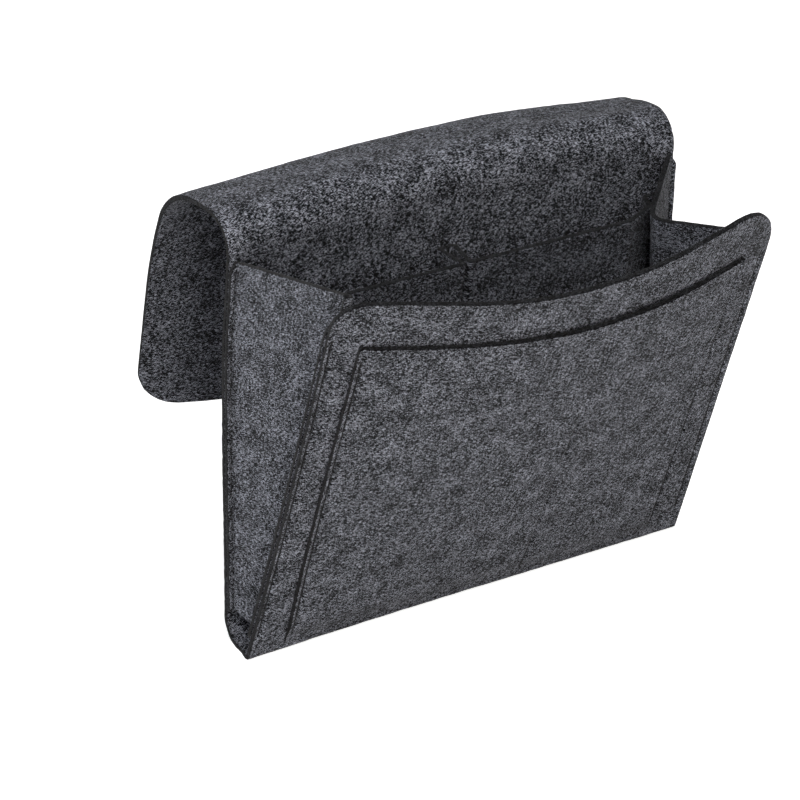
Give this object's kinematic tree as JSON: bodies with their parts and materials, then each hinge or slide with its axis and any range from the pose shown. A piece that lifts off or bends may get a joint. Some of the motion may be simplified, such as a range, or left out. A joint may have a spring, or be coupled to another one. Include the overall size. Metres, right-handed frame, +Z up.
{
  "type": "bedside caddy",
  "caption": "Felt bedside organiser: a flap tucks under the mattress, a gusseted main pocket hangs beside the bed, with a patch pocket on its front and pleated pockets inside.",
  "frame": {"origin": "middle of the back panel's flat rear face, which lies against the side of the bed", "axes": "+X to the right as seen from the front, +Y out of the rear face towards the bed, +Z up; the front panel faces -Y"},
  "size_m": [0.2813, 0.227, 0.26],
  "materials": {
    "felt": "dark grey melange needle felt, about 3 mm thick, with raw cut edges",
    "thread": "dark grey sewing thread, lockstitch"
  },
  "bodies": {
    "back": {"back_panel": "felt", "left_gusset": "felt", "right_gusset": "felt", "left_inner_pocket": "felt", "right_inner_pocket": "felt", "left_back_seam": "thread", "right_back_seam": "thread", "left_inner_pocket_seam": "thread", "right_inner_pocket_seam": "thread"},
    "front": {"front_panel": "felt", "front_pocket": "felt", "left_front_seam": "thread", "right_front_seam": "thread", "front_pocket_seam": "thread", "front_pocket_divider_seam": "thread"},
    "top": {"top_fold": "felt"},
    "flap": {"tuck_flap": "felt"}
  },
  "joints": [
    {"name": "front_fold", "type": "hinge", "parent": "back", "child": "front", "pos_m": [0, -0.0243, -0.12135], "axis": [-1, 0, 0], "range_deg": [0, 13], "deforming": ["left_gusset", "right_gusset"]},
    {"name": "top_fold", "type": "hinge", "parent": "back", "child": "top", "pos_m": [0, 0.00247, 0.1307], "axis": [1, 0, 0], "range_deg": [0, 90]},
    {"name": "flap_fold", "type": "hinge", "parent": "top", "child": "flap", "pos_m": [0, 0.06174, 0.12202], "axis": [1, 0, 0], "range_deg": [0, 78]}
  ]
}
